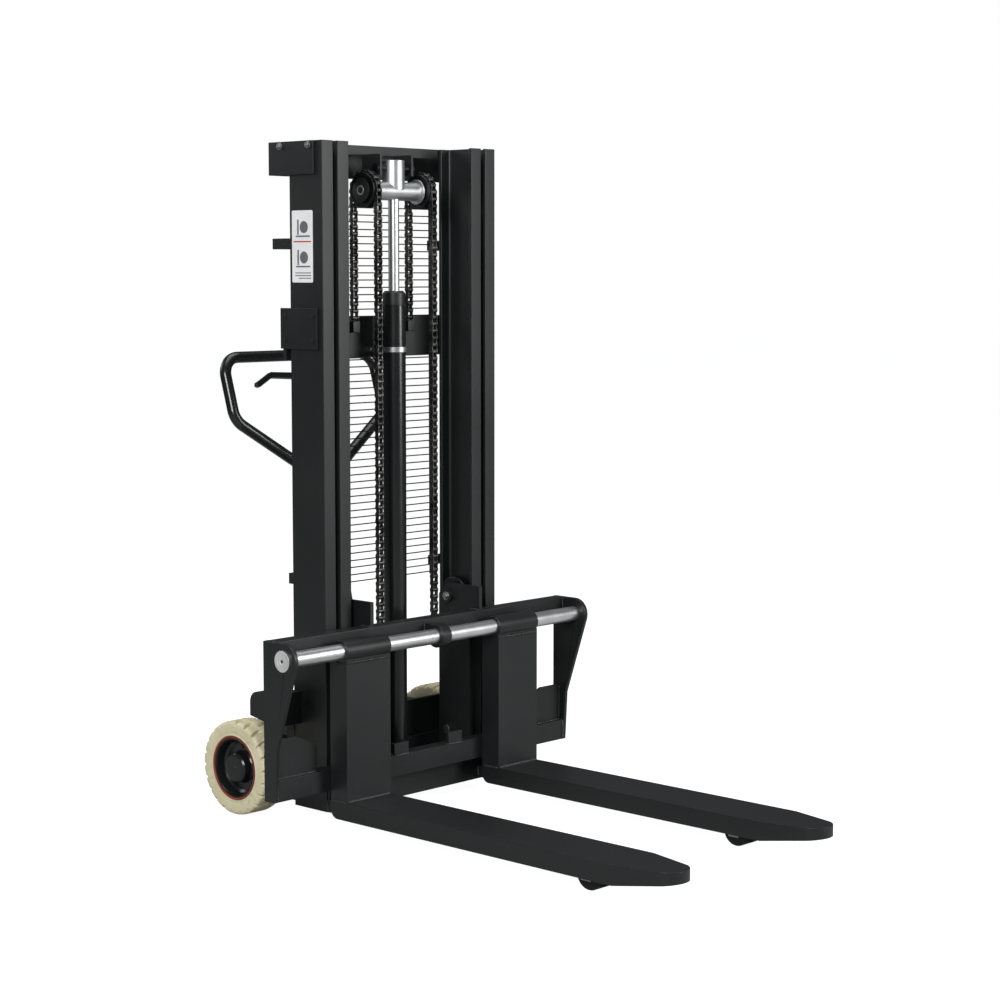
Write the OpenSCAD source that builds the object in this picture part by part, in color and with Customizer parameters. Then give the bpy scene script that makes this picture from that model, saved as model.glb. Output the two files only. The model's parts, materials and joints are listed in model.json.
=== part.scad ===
// Walkie stacker: two-stage mast on skirted forks that hang from a round shaft, hand pumped.
// Frame: +Z up, the forks point to -Y, X across. The origin is on the ground, at the middle of
// the whole machine's plan. Lengths are millimetres.

/* [Mast] */
// Height of the lowered mast above the ground
mast_height = 1830; // [1800:1:1860]
// Width over the outer posts
mast_width = 658; // [650:1:670]
// Depth of the posts, from front flange to back flange
post_depth = 130; // [128:1:134]
// Width of a post's flange across the machine
post_flange = 39; // [37:1:41]
// Thickness of the flanges
flange_t = 12; // [10:0.5:13]
// Thickness of the webs
web_t = 8; // [6:0.5:9]
// Gap between the flange tips of the outer posts and the webs of the inner posts
stage_gap = 17; // [15:1:18]
// Height of the outer posts' lower ends
post_bottom = 38; // [30:1:42]
// Stroke of the inner mast; the forks rise twice as far
mast_stroke = 1050; // [900:10:1050]

/* [Carriage] */
// Distance between the outer faces of the two shaft ears
ear_span = 1136; // [1100:2:1160]
// Diameter of the fork shaft
shaft_d = 42; // [40:1:44]
// Height of the fork shaft above the ground
shaft_z = 492; // [485:1:500]
// Distance from the mast's front plane to the fork shaft's axis
shaft_reach = 102; // [100:1:104]

/* [Forks] */
// Width of a fork
fork_width = 160; // [150:1:170]
// Distance from the machine's centre line to the middle of a fork
fork_x = 291; // [285:1:296]
// Height of the forks' top when lowered
fork_top = 91; // [89:1:95]
// Height of the skirts' lower edge
skirt_z = 41; // [38:1:44]
// Distance from the mast's front plane to the fork tips
fork_reach = 1200; // [1150:5:1300]

/* [Wheels] */
// Diameter of the rear tyres
tyre_d = 260; // [250:1:264]
// Width of the rear tyres
tyre_w = 85; // [80:1:86]
// Diameter of the rollers in the support legs
leg_roller_d = 80; // [76:1:80]

/* [Tiller] */
// Height of the middle of the handle's top bar
handle_z = 1247; // [1200:1:1300]
// Distance from the mast's front plane back to the handle's top bar
handle_y = 466; // [455:1:480]
// Width of the handle loop, outside
handle_w = 606; // [580:2:640]
// Diameter of the handle tube
handle_d = 32; // [28:1:34]

/* [Lift cylinder] */
// Diameter of the cylinder barrel
barrel_d = 64; // [60:1:66]
// Diameter of the piston rod
rod_d = 30; // [28:1:32]
// Height of the top of the cylinder's gland
gland_z = 1434; // [1420:1:1440]

/* [Hidden] */
$fn = 64;
// Clearances: running fits, and the gap between faces that pass each other
fit = 0.05;
gap = 0.3;

// The mast's front plane in the machine's frame, so that the plan is centred on the origin
tail_reach = handle_y + handle_d / 2;
mast_y = (fork_reach - tail_reach) / 2;

// Post faces across the machine, and the channel's middle in depth
outer_x = mast_width / 2;
outer_tip = outer_x - post_flange;
inner_x = outer_tip - stage_gap;
inner_tip = inner_x - post_flange;
channel_y = post_depth / 2;
inner_bottom = 55;

// Mast rollers and the stub axles that carry them
roller_r = (post_depth - 2 * flange_t) / 2 - 1;
roller_w = 32;
stub_r = 15;
mast_roller_z = [125, 470];
carriage_roller_z = [178, 565];
upright_x = 217;
upright_t = 12;

// Rear cross members stand clear of the inner mast's own ties
tie_y = post_depth;
tie_t = 12;
rear_y = 148;
rear_t = 12;
rear_plate_top = 262;

// Lift cylinder, crosshead and chain wheels
cyl_y = 72;
crosshead_z = 1706;
crosshead_r = 25.5;
boss_r = 32;
boss_top = 1790;
wheel_x = 105;
wheel_w = 28;
wheel_r = 48;
chain_w = 20;
chain_t = 17;
front_anchor_z = 520;
rear_anchor_z = 1360;

// Mast cross members at the back, and the plates that wrap round the posts
wrap_t = 6;
top_wrap = [28, 206, mast_height - 88, mast_height];
mid_wrap = [18, 164, 1281, 1390];
mid_beam_z = [1250, 1363];

// Guard of horizontal wires behind the mast
guard_y = 168;
guard_z = [615, 1668];
wire_d = 3.4;
wire_pitch = 20;
guard_half = 236;

// Carriage bars
bar_front = -60;
bar_back = -18;
lower_bar_z = [113, 171];
top_bar_z = [476, 536];
ear_t = 12;
ear_x = ear_span / 2;
ear_nose_r = 45;
bar_half = ear_x - ear_t;

// Forks: shank, sleeve and blade
sleeve_r = 30;
shank_front = -126;
shank_back = bar_front - 1.5;
blade_t = 8;
skirt_t = 6;
taper_start = 1039;
nose_r = 52;
nose_lift = 21;

// Support legs and their rollers
leg_half = 45;
leg_z = [43, 75];
leg_end = 1000;
leg_roller_y = -930;
leg_roller_w = 66;
leg_axle_r = 10;
leg_slot = [-980, -880];

// Rear chassis, wheels and axle
axle_y = 283;
axle_z = tyre_d / 2;
axle_r = 15;
wheel_outer = 417;
tyre_inner_r = 88;
chassis_x = 308;
chassis_end = 340;
chassis_z = [60, 215];
deck_t = 8;
deck_top = chassis_z[1] + deck_t;

// Pump and tiller
pump_y = 300;
pump_x = 75;
pump_top = 285;
pump_neck_top = 300;
plunger_r = 11;
plunger_top = 367;
cap_top = 375.5;
pivot_y = 232;
pivot_z = 380;
pin_r = 9;
press_r = 10;
press_z = cap_top + 0.5 + press_r;
neck_y = 359;
neck_z = 897;
tiller_r = 19;
handle_lean = atan((handle_y - neck_y) / (handle_z - neck_z));
loop_h = (handle_z - neck_z) / cos(handle_lean);
loop_half = handle_w / 2 - handle_d / 2;
lever_v = loop_h - 62;
loop_bend = 55;
loop_shoulder = 214;
shaft_lean = atan((neck_y - pivot_y) / (neck_z - pivot_z));

// ---- helpers --------------------------------------------------------------------------------

// Puts geometry drawn from the mast's front plane into the machine's frame
module at_mast() {
    translate([0, mast_y, 0]) children();
}

// Right side is +1 and left side is -1; parts are drawn for the right side
module on_side(side) {
    mirror([side < 0 ? 1 : 0, 0, 0]) children();
}

module both_sides() {
    for (side = [-1, 1]) on_side(side) children();
}

// Box between two corners
module block(low, high) {
    translate(low) cube(high - low);
}

// Cylinder along X between x0 and x1, at depth y and height z
module rod_x(r, x0, x1, y, z) {
    translate([x0, y, z]) rotate([0, 90, 0]) cylinder(r = r, h = x1 - x0);
}

// Cylinder along Y between y0 and y1
module rod_y(r, y0, y1, x, z) {
    translate([x, y0, z]) rotate([-90, 0, 0]) cylinder(r = r, h = y1 - y0);
}

// Plate of thickness t whose outline lies in the Y-Z plane, from x upwards
module side_plate(x, t) {
    translate([x, 0, 0]) rotate([90, 0, 90]) linear_extrude(t) children();
}

// Points of an arc round a centre
function arc(centre, r, a0, a1, steps = 16) =
    [for (i = [0:steps]) centre + r * [cos(a0 + (a1 - a0) * i / steps), sin(a0 + (a1 - a0) * i / steps)]];

// ---- outer mast and base ----------------------------------------------------------------------

// Channel section that opens towards the centre line
module post(outer, bottom) {
    block([outer - web_t, 0, bottom], [outer, post_depth, mast_height]);
    for (y = [0, post_depth - flange_t]) {
        block([outer - post_flange, y, bottom], [outer, y + flange_t, mast_height]);
    }
}

module outer_post(side) {
    color("#26282a") at_mast() on_side(side) post(outer_x, post_bottom);
}

module left_outer_post() outer_post(-1);

module right_outer_post() outer_post(1);

module top_crossbeam() {
    color("#26282a") at_mast()
        block([-outer_x, top_wrap[1] - rear_t, top_wrap[2]], [outer_x, top_wrap[1], top_wrap[3]]);
}

module mid_crossbeam() {
    color("#26282a") at_mast() union() {
        block([-outer_x, rear_y, mid_beam_z[0]], [outer_x, rear_y + rear_t, mid_beam_z[1]]);
        for (x = [-wheel_x, wheel_x]) {
            block([x - 13, cyl_y + wheel_r - 10, rear_anchor_z - 40], [x + 13, rear_y, rear_anchor_z - 8]);
        }
    }
}

// Front beam of the base with the floor plate behind it
module base_frame() {
    color("#26282a") at_mast() union() {
        block([-outer_x, -12, post_bottom], [outer_x, 0, 106]);
        block([-outer_tip, -1, post_bottom], [outer_tip, rear_y, post_bottom + 12]);
    }
}

// Rear cross plate, with a return at each end that reaches the posts
module rear_cross_plate() {
    color("#26282a") at_mast() difference() {
        union() {
            block([-outer_x, rear_y, post_bottom + 12], [outer_x, rear_y + rear_t, rear_plate_top]);
            both_sides()
                block([outer_x - 10, post_depth, post_bottom + 12], [outer_x, rear_y, rear_plate_top]);
        }
        rod_y(7, rear_y - 1, rear_y + rear_t + 1, 0, 60);
    }
}

// Plates on the posts' outer faces that tie the rear beams to them, and the guard's small tabs
module wrap_plates() {
    color("#26282a") at_mast() both_sides() {
        for (w = [top_wrap, mid_wrap]) block([outer_x, w[0], w[2]], [outer_x + wrap_t, w[1], w[3]]);
        union() {
            block([outer_x - 10, post_depth, 1546], [outer_x, 200, 1575]);
            block([guard_half, guard_y + 6, 1546], [outer_x, guard_y + 12, 1575]);
        }
        union() {
            block([outer_tip, post_depth, 640], [outer_tip + 10, guard_y + 12, 669]);
            block([guard_half, guard_y + 6, 640], [outer_tip + 10, guard_y + 12, 669]);
        }
    }
}

module mast_bolts() {
    color("#6d7073") at_mast() both_sides() for (y = [48, 160], z = [1818]) {
        rod_x(7, outer_x + wrap_t, outer_x + wrap_t + 9, y, z);
    }
}

// Two flat bars joined by horizontal wires
module rear_guard() {
    color("#3a3c3e") at_mast() union() {
        both_sides() block([guard_half, guard_y + 2, guard_z[0]], [guard_half + 24, guard_y + 6, guard_z[1]]);
        for (z = [guard_z[0] + 8 : wire_pitch : guard_z[1] - 4]) {
            rod_x(wire_d / 2, -guard_half - 12, guard_half + 12, guard_y + 1.4, z);
        }
    }
}

// ---- lift cylinder ----------------------------------------------------------------------------

module cylinder_barrel() {
    color("#1c1d1e") at_mast() translate([0, cyl_y, 100]) difference() {
        cylinder(r = barrel_d / 2, h = gland_z - 40 - 100);
        translate([0, 0, 12]) cylinder(r = barrel_d / 2 - 7, h = gland_z);
    }
}

module cylinder_gland() {
    color("#303234") at_mast() translate([0, cyl_y, gland_z - 40]) difference() {
        union() {
            cylinder(r = barrel_d / 2 - 1, h = 36);
            cylinder(r = barrel_d / 2 - 5, h = 40);
        }
        translate([0, 0, -1]) cylinder(r = rod_d / 2 + fit, h = 42);
    }
}

module cylinder_foot() {
    color("#26282a") at_mast() translate([0, cyl_y, post_bottom + 12]) {
        cylinder(r = 46, h = 100 - post_bottom - 12);
    }
}

// Clamp ring whose two legs run back to the middle crossbeam
module cylinder_strap() {
    color("#9a9c9e") at_mast() difference() {
        union() {
            translate([0, cyl_y, 1266]) cylinder(r = barrel_d / 2 + 4, h = 14);
            block([-36, cyl_y, 1266], [-32, rear_y, 1280]);
            block([32, cyl_y, 1266], [36, rear_y, 1280]);
        }
        translate([0, cyl_y, 1265]) cylinder(r = barrel_d / 2 + 0.2, h = 16);
        block([-31.9, cyl_y + 5, 1265], [31.9, rear_y + 1, 1281]);
    }
}

// ---- support legs ------------------------------------------------------------------------------

module support_leg(side) {
    color("#26282a") at_mast() on_side(side) difference() {
        block([fork_x - leg_half, -leg_end, leg_z[0]], [fork_x + leg_half, -12, leg_z[1]]);
        block([fork_x - leg_roller_w / 2 - 1.5, leg_slot[0], leg_z[0] - 1],
              [fork_x + leg_roller_w / 2 + 1.5, leg_slot[1], leg_z[1] + 1]);
        rod_x(leg_axle_r + fit, fork_x - leg_half - 1, fork_x + leg_half + 1, leg_roller_y, leg_roller_d / 2);
    }
}

module left_support_leg() support_leg(-1);

module right_support_leg() support_leg(1);

// Roller axle with an ear under each cheek of the leg
module leg_axles() {
    color("#8d9093") at_mast() both_sides() union() {
        rod_x(leg_axle_r, fork_x - leg_half, fork_x + leg_half, leg_roller_y, leg_roller_d / 2);
        for (x = [fork_x - leg_half, fork_x + leg_roller_w / 2 + 2]) {
            block([x, leg_roller_y - 16, 26], [x + 10, leg_roller_y + 16, leg_z[0]]);
        }
    }
}

module leg_roller(side) {
    half = leg_roller_w / 2;
    color("#3a3b3c") at_mast() on_side(side) difference() {
        rod_x(leg_roller_d / 2, fork_x - half, fork_x + half, leg_roller_y, leg_roller_d / 2);
        rod_x(leg_axle_r + fit, fork_x - half - 1, fork_x + half + 1, leg_roller_y, leg_roller_d / 2);
    }
}

module leg_rollers_left() leg_roller(-1);

module leg_rollers_right() leg_roller(1);

// ---- rear chassis and wheels --------------------------------------------------------------------

// Two cheeks, a back plate and a deck on which the pump stands
module rear_chassis() {
    front = rear_y + rear_t;
    color("#26282a") at_mast() difference() {
        union() {
            both_sides() block([chassis_x - 12, front, chassis_z[0]], [chassis_x, chassis_end, chassis_z[1]]);
            block([12 - chassis_x, chassis_end - 10, chassis_z[0]],
                  [chassis_x - 12, chassis_end, chassis_z[1]]);
            block([-chassis_x, front, chassis_z[1]], [chassis_x, chassis_end, deck_top]);
        }
        rod_x(axle_r + fit, -chassis_x - 1, chassis_x + 1, axle_y, axle_z);
        block([-9, front - 1, chassis_z[1] - 1], [9, front + 20, deck_top + 1]);
    }
}

module wheel_axle() {
    color("#8d9093") at_mast() rod_x(axle_r, 18 - wheel_outer, wheel_outer - 18, axle_y, axle_z);
}

// Guards in front of the tyres: the lower edge follows the tread, the upper rear corner is round
module wheel_guards() {
    high = 356;
    front = 100;
    end = 210;
    corner = 30;
    color("#26282a") at_mast() both_sides() side_plate(outer_x, wheel_outer - outer_x)
        polygon(concat([[front, 268], [front, high]], arc([end - corner, high - corner], corner, 90, 0), [[end, 288]]));
}

module tyre(side) {
    r = tyre_d / 2;
    edge = 7;
    color("#d8cfb4") at_mast() translate([0, axle_y, axle_z]) on_side(side)
        translate([wheel_outer - tyre_w, 0, 0]) rotate([0, 90, 0]) rotate_extrude()
            polygon(concat([[tyre_inner_r, 4], [tyre_inner_r + 22, 0]],
                           arc([r - edge, edge], edge, -90, 0, 6),
                           arc([r - edge, tyre_w - edge], edge, 0, 90, 6),
                           [[tyre_inner_r + 22, tyre_w], [tyre_inner_r, tyre_w - 4]]));
}

module left_tyre() tyre(-1);

module right_tyre() tyre(1);

// Dished rim with its hub and cap
module rim(side) {
    w = tyre_w - 10;
    color("#202122") at_mast() translate([0, axle_y, axle_z]) on_side(side)
        translate([wheel_outer - tyre_w + 5, 0, 0]) rotate([0, 90, 0]) difference() {
            cylinder(r = tyre_inner_r, h = w);
            translate([0, 0, w - 26]) cylinder(r = tyre_inner_r - 9, h = 30);
            translate([0, 0, -4]) cylinder(r = tyre_inner_r - 9, h = 24);
            translate([0, 0, -1]) cylinder(r = axle_r + fit, h = w + 2);
        }
    color("#202122") at_mast() translate([0, axle_y, axle_z]) on_side(side)
        translate([wheel_outer - tyre_w + 5, 0, 0]) rotate([0, 90, 0]) difference() {
            cylinder(r = 38, h = w - 4);
            translate([0, 0, -1]) cylinder(r = axle_r + fit, h = w - 11);
        }
}

module left_rim() rim(-1);

module right_rim() rim(1);

// ---- pump and tiller ---------------------------------------------------------------------------

module pump_block() {
    color("#2c2e30") at_mast() difference() {
        union() {
            block([-pump_x, 190, deck_top], [pump_x, 330, pump_top]);
            translate([0, pump_y, pump_top]) cylinder(r = 24, h = pump_neck_top - pump_top);
        }
        translate([0, pump_y, deck_top + 7]) cylinder(r = plunger_r + fit, h = 120);
    }
}

module tiller_bracket() {
    color("#26282a") at_mast() both_sides() difference() {
        side_plate(42, 10) polygon(concat([[pivot_y - 24, pump_top], [pivot_y - 18, pivot_z]],
            arc([pivot_y, pivot_z], 18, 180, 0), [[pivot_y + 24, pump_top]]));
        rod_x(pin_r + fit, 40, 54, pivot_y, pivot_z);
    }
}

module tiller_pin() {
    color("#8d9093") at_mast() union() {
        rod_x(pin_r, -58, 58, pivot_y, pivot_z);
        both_sides() rod_x(13, 54, 60, pivot_y, pivot_z);
    }
}

// Steel pipe from the pump down the back of the cross plate and through it to the cylinder's foot
module hydraulic_pipe() {
    pipe_r = 5;
    drop_y = 172;
    top_z = 255;
    low_z = 60;
    color("#55585a") at_mast() union() {
        rod_y(pipe_r, drop_y, 190, 0, top_z);
        translate([0, drop_y, top_z]) sphere(r = pipe_r, $fn = 24);
        translate([0, drop_y, low_z]) cylinder(r = pipe_r, h = top_z - low_z);
        translate([0, drop_y, low_z]) sphere(r = pipe_r, $fn = 24);
        rod_y(pipe_r, cyl_y + 46, drop_y, 0, low_z);
    }
}

// Frame of the handle: the origin is at the neck, X across and Y up the leaning plane
module at_handle() {
    at_mast() translate([0, neck_y, neck_z]) rotate([90 - handle_lean, 0, 0]) children();
}

// Straight bar in the handle's plane from point a to point b
module tube(a, b, r) {
    d = b - a;
    translate([a[0], a[1], 0]) rotate([0, 0, atan2(d[1], d[0])]) rotate([0, 90, 0])
        cylinder(r = r, h = norm(d));
}

// Tube swept along a path in a plane, as rings of a fixed number of sides with flat ends
module swept_tube(path, r, sides = 20) {
    last = len(path) - 1;
    points = [for (i = [0:last])
        let (ahead = path[min(i + 1, last)] - path[max(i - 1, 0)],
             n = [-ahead[1], ahead[0]] / norm(ahead))
        for (j = [0:sides - 1])
            let (a = 360 * j / sides)
            [path[i][0] + r * cos(a) * n[0], path[i][1] + r * cos(a) * n[1], r * sin(a)]];
    faces = [for (i = [0:last - 1], j = [0:sides - 1])
        [i * sides + j, (i + 1) * sides + j,
         (i + 1) * sides + (j + 1) % sides, i * sides + (j + 1) % sides]];
    polyhedron(points, concat(faces, [[for (j = [0:sides - 1]) j]],
                              [[for (j = [0:sides - 1]) last * sides + sides - 1 - j]]));
}

// Closed loop of tube: each side runs from the neck up a slant, round two bends to the top bar
module tiller_handle() {
    foot = [27, 6];
    low = [loop_half - loop_bend, loop_shoulder];
    high = [loop_half - loop_bend, loop_h - loop_bend];
    toe = atan2(foot[1] - low[1], foot[0] - low[0]) + acos(loop_bend / norm(foot - low));
    half = concat([foot], arc(low, loop_bend, toe, 0, 7), arc(high, loop_bend, 0, 90, 8));
    count = len(half);
    color("#1c1d1e") at_handle()
        swept_tube(concat(half, [for (i = [1:count]) [-half[count - i][0], half[count - i][1]]]),
                   handle_d / 2);
}

// Tiller shaft: pivot hub, shaft, neck, the stem under the release lever and the pump's press nose
module tiller_shaft() {
    color("#1c1d1e") difference() {
        union() {
            at_mast() translate([0, pivot_y, pivot_z]) rotate([-shaft_lean, 0, 0]) {
                cylinder(r = tiller_r, h = norm([neck_y - pivot_y, neck_z - pivot_z]) - 12);
            }
            at_handle() tube([-27, 0], [27, 0], 20);
            at_handle() tube([0, 0], [0, lever_v - 16], 12);
            at_mast() rod_x(24, -40, 40, pivot_y, pivot_z);
            at_mast() block([-15, pivot_y, pivot_z], [15, pump_y, pivot_z + 14]);
            at_mast() rod_x(press_r, -15, 15, pump_y, press_z);
        }
        at_mast() rod_x(pin_r + fit, -60, 60, pivot_y, pivot_z);
    }
}

// Plunger with its cap
module pump_plunger() {
    color("#b9bcbf") at_mast() translate([0, pump_y, 0]) union() {
        translate([0, 0, 275]) cylinder(r = plunger_r, h = plunger_top - 275);
        translate([0, 0, plunger_top]) cylinder(r = 21, h = cap_top - plunger_top);
    }
}

// Return spring, as the sleeve that its coils fill
module pump_spring() {
    color("#77797c") at_mast() translate([0, pump_y, pump_neck_top + gap]) difference() {
        cylinder(r = 18, h = plunger_top - pump_neck_top - 2 * gap);
        translate([0, 0, -1]) cylinder(r = 13, h = 80);
    }
}

// Lever under the handle's top bar: a hub on the stem and a long arm with a hooked end
module release_lever() {
    arm = [[0, 8], [-126, 14], [-170, -8], [-184, -14], [-186, -24], [-176, -28], [-160, -20],
           [-124, -2], [0, -10], [44, -12], [48, -2], [44, 4]];
    color("#1c1d1e") at_handle() translate([0, lever_v, 0]) union() {
        translate([0, 0, -9]) cylinder(r = 15, h = 18);
        translate([0, 0, -7]) linear_extrude(14) polygon(arm);
    }
}

// ---- inner mast --------------------------------------------------------------------------------

module inner_post(side) {
    color("#26282a") at_mast() on_side(side) union() {
        post(inner_x, inner_bottom);
        for (z = mast_roller_z) rod_x(stub_r, inner_x - web_t, outer_tip + 24, channel_y, z);
    }
}

module left_inner_post() inner_post(-1);

module right_inner_post() inner_post(1);

module inner_top_beam() {
    color("#26282a") at_mast()
        block([-inner_x, tie_y, mast_height - 27], [inner_x, tie_y + tie_t, mast_height]);
}

module inner_tie_beam() {
    color("#26282a") at_mast() block([-inner_x, tie_y, 72], [inner_x, tie_y + tie_t, 160]);
}

// Two plates that hang from the top beam beside the crosshead's boss
module crosshead_plates() {
    color("#26282a") at_mast() both_sides() difference() {
        side_plate(56, 7)
            polygon([[58, 1748], [58, 1806], [tie_y, 1806], [tie_y, 1765], [100, 1748]]);
        rod_x(8 + fit, 55, 64, cyl_y, 1768);
    }
}

module crosshead_pin() {
    color("#8d9093") at_mast() union() {
        rod_x(8, -66, 66, cyl_y, 1768);
        both_sides() rod_x(12, 63.2, 70, cyl_y, 1768);
    }
}

// Rod with its piston inside the barrel; at full stroke the piston stays this far below the gland
module lift_rod() {
    guided = 154;
    piston_h = 40;
    bottom = gland_z - 40 - guided - piston_h - mast_stroke;
    color("#c9cccf") at_mast() translate([0, cyl_y, bottom]) union() {
        cylinder(r = rod_d / 2, h = crosshead_z - crosshead_r - bottom + 4);
        cylinder(r = barrel_d / 2 - 7 - fit, h = piston_h);
    }
}

module crosshead() {
    color("#c9cccf") at_mast() difference() {
        union() {
            rod_x(crosshead_r, -wheel_x + wheel_w / 2 + 0.6, wheel_x - wheel_w / 2 - 0.6, cyl_y, crosshead_z);
            rod_x(14, -wheel_x - wheel_w / 2 - 6, wheel_x + wheel_w / 2 + 6, cyl_y, crosshead_z);
            translate([0, cyl_y, crosshead_z]) cylinder(r = boss_r, h = boss_top - crosshead_z);
        }
        translate([0, cyl_y, crosshead_z - crosshead_r - 20]) cylinder(r = rod_d / 2 + fit, h = 24.2);
        rod_x(8 + fit, -50, 50, cyl_y, 1768);
    }
}

// Grooved wheels that turn on the crosshead's ends
module chain_wheels() {
    half = wheel_w / 2;
    groove = wheel_r - chain_t / 2 - 0.5;
    color("#1c1d1e") at_mast() both_sides() translate([wheel_x - half, cyl_y, crosshead_z])
        rotate([0, 90, 0]) difference() {
            union() {
                cylinder(r = groove, h = wheel_w);
                cylinder(r = wheel_r, h = 3.5);
                translate([0, 0, wheel_w - 3.5]) cylinder(r = wheel_r, h = 3.5);
            }
            translate([0, 0, -1]) cylinder(r = 14 + fit, h = wheel_w + 2);
        }
}

// Runs in front of the wheels, with the half turn over them
module front_chains() {
    color("#3c3d3e") at_mast() for (x = [-wheel_x, wheel_x]) {
        union() {
            block([x - chain_w / 2, cyl_y - wheel_r - chain_t / 2, front_anchor_z],
                  [x + chain_w / 2, cyl_y - wheel_r + chain_t / 2, crosshead_z]);
            intersection() {
                difference() {
                    rod_x(wheel_r + chain_t / 2, x - chain_w / 2, x + chain_w / 2, cyl_y, crosshead_z);
                    rod_x(wheel_r - chain_t / 2, x - chain_w, x + chain_w, cyl_y, crosshead_z);
                }
                block([x - chain_w, cyl_y - 100, crosshead_z], [x + chain_w, cyl_y + 100, crosshead_z + 100]);
            }
        }
    }
}

module rear_chains() {
    color("#3c3d3e") at_mast() for (x = [-wheel_x, wheel_x]) {
        block([x - chain_w / 2, cyl_y + wheel_r - chain_t / 2, rear_anchor_z],
              [x + chain_w / 2, cyl_y + wheel_r + chain_t / 2, crosshead_z]);
    }
}

// Pair of rollers on one line across the machine
module roller_pair(x0, z) {
    color("#45474a") at_mast() both_sides() difference() {
        rod_x(roller_r, x0, x0 + roller_w, channel_y, z);
        rod_x(stub_r + fit, x0 - 1, x0 + roller_w + 1, channel_y, z);
    }
}

module lower_mast_rollers() roller_pair(outer_tip - 6, mast_roller_z[0]);

module upper_mast_rollers() roller_pair(outer_tip - 6, mast_roller_z[1]);

// ---- carriage ----------------------------------------------------------------------------------

// Angle at which the ear's front edge touches its round nose
function touch_angle(p, c, r) = atan2(p[1] - c[1], p[0] - c[0]) - acos(r / norm(p - c));

module shaft_ears() {
    centre = [-shaft_reach, shaft_z];
    kink = [-70, 255];
    a = touch_angle(kink, centre, ear_nose_r);
    color("#26282a") at_mast() both_sides() difference() {
        side_plate(ear_x - ear_t, ear_t)
            polygon(concat([[bar_back - 4, lower_bar_z[0]], [bar_back - 4, shaft_z + ear_nose_r]],
                           arc(centre, ear_nose_r, 90, a + 360),
                           [kink, [bar_front - 2, lower_bar_z[0]]]));
        rod_x(shaft_d / 2 + fit, ear_x - ear_t - 1, ear_x + 1, -shaft_reach, shaft_z);
    }
}

// Polished shaft with a flanged end cap outside each ear
module fork_shaft() {
    color("#c9cccf") at_mast() union() {
        rod_x(shaft_d / 2, -ear_x - 1, ear_x + 1, -shaft_reach, shaft_z);
        both_sides() difference() {
            rod_x(28.5, ear_x + gap, ear_x + 6, -shaft_reach, shaft_z);
            rod_x(3.5, ear_x + 2, ear_x + 7, -shaft_reach, shaft_z);
        }
    }
}

module top_bar() {
    color("#26282a") at_mast()
        block([-bar_half, bar_front, top_bar_z[0]], [bar_half, bar_back, top_bar_z[1]]);
}

// Lower bar that the shanks rest on, with two short lugs on its front edge
module lower_bar() {
    color("#26282a") at_mast() union() {
        block([-bar_half, bar_front, lower_bar_z[0]], [bar_half, bar_back, lower_bar_z[1]]);
        both_sides() block([78, bar_front + 1, lower_bar_z[1]], [132, bar_front + 13, 203]);
    }
}

// Side plates that reach back into the mast and carry the carriage rollers
module carriage_uprights() {
    back = 104;
    top = 602;
    color("#26282a") at_mast() both_sides() union() {
        side_plate(upright_x - upright_t, upright_t)
            polygon([[bar_back, 128], [bar_back, top_bar_z[1]], [-56, top_bar_z[1]], [-56, top],
                     [70, top], [back, top - 34], [back, 128]]);
        for (z = carriage_roller_z) {
            rod_x(stub_r, upright_x, inner_tip + 22, channel_y, z);
            rod_x(19, upright_x - upright_t - 10, upright_x - upright_t, channel_y, z);
        }
    }
}

// Lug that holds the shaft in the middle, and the plates that stiffen the lower bar at the ears
module carriage_brackets() {
    lug_r = 32;
    z0 = lower_bar_z[1];
    color("#26282a") at_mast() difference() {
        union() {
            rod_x(lug_r, -17, 17, -shaft_reach, shaft_z);
            block([-17, -shaft_reach, shaft_z - lug_r + 6], [17, bar_front, shaft_z + lug_r]);
        }
        rod_x(shaft_d / 2 + fit, -18, 18, -shaft_reach, shaft_z);
    }
    color("#26282a") at_mast() both_sides() translate([0, -36, 0]) rotate([90, 0, 0]) linear_extrude(10)
        polygon([[bar_half, z0], [bar_half, 275], [478, 275], [405, 240], [405, z0]]);
}

// Blocks behind the top bar that the chains end on, each with its clevis
module chain_anchors() {
    y0 = cyl_y - wheel_r;
    color("#3c3d3e") at_mast() for (x = [-wheel_x, wheel_x]) union() {
        block([x - 16, bar_back, 478], [x + 16, y0 + 16, 502]);
        block([x - 9, y0 - 8, 502], [x + 9, y0 + 8, front_anchor_z]);
    }
}

module lower_carriage_rollers() roller_pair(inner_tip - 10, carriage_roller_z[0]);

module upper_carriage_rollers() roller_pair(inner_tip - 10, carriage_roller_z[1]);

// ---- forks -------------------------------------------------------------------------------------

module fork_sleeve(side) {
    half = fork_width / 2 - 1;
    color("#26282a") at_mast() on_side(side) difference() {
        rod_x(sleeve_r, fork_x - half, fork_x + half, -shaft_reach, shaft_z);
        rod_x(shaft_d / 2 + fit, fork_x - half - 1, fork_x + half + 1, -shaft_reach, shaft_z);
    }
}

module left_fork_sleeve() fork_sleeve(-1);

module right_fork_sleeve() fork_sleeve(1);

// Outline of the blade from above: straight sides, then a taper to a round nose
module blade_plan() {
    half = fork_width / 2;
    centre = [0, nose_r - fork_reach];
    a = touch_angle([half, -taper_start], centre, nose_r);
    polygon(concat([[half, shank_back], [-half, shank_back], [-half, -taper_start]],
                   arc(centre, nose_r, 180 - a, 360 + a),
                   [[half, -taper_start]]));
}

// Outline of the blade from the side: rounded heel, level underside and a rising nose
module blade_side() {
    heel = 24;
    polygon(concat([[shank_back, fork_top]],
                   arc([shank_back - heel, skirt_z + heel], heel, 0, -90, 6),
                   [[-taper_start, skirt_z], [-fork_reach - 1, skirt_z + nose_lift],
                    [-fork_reach - 1, fork_top]]));
}

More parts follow.
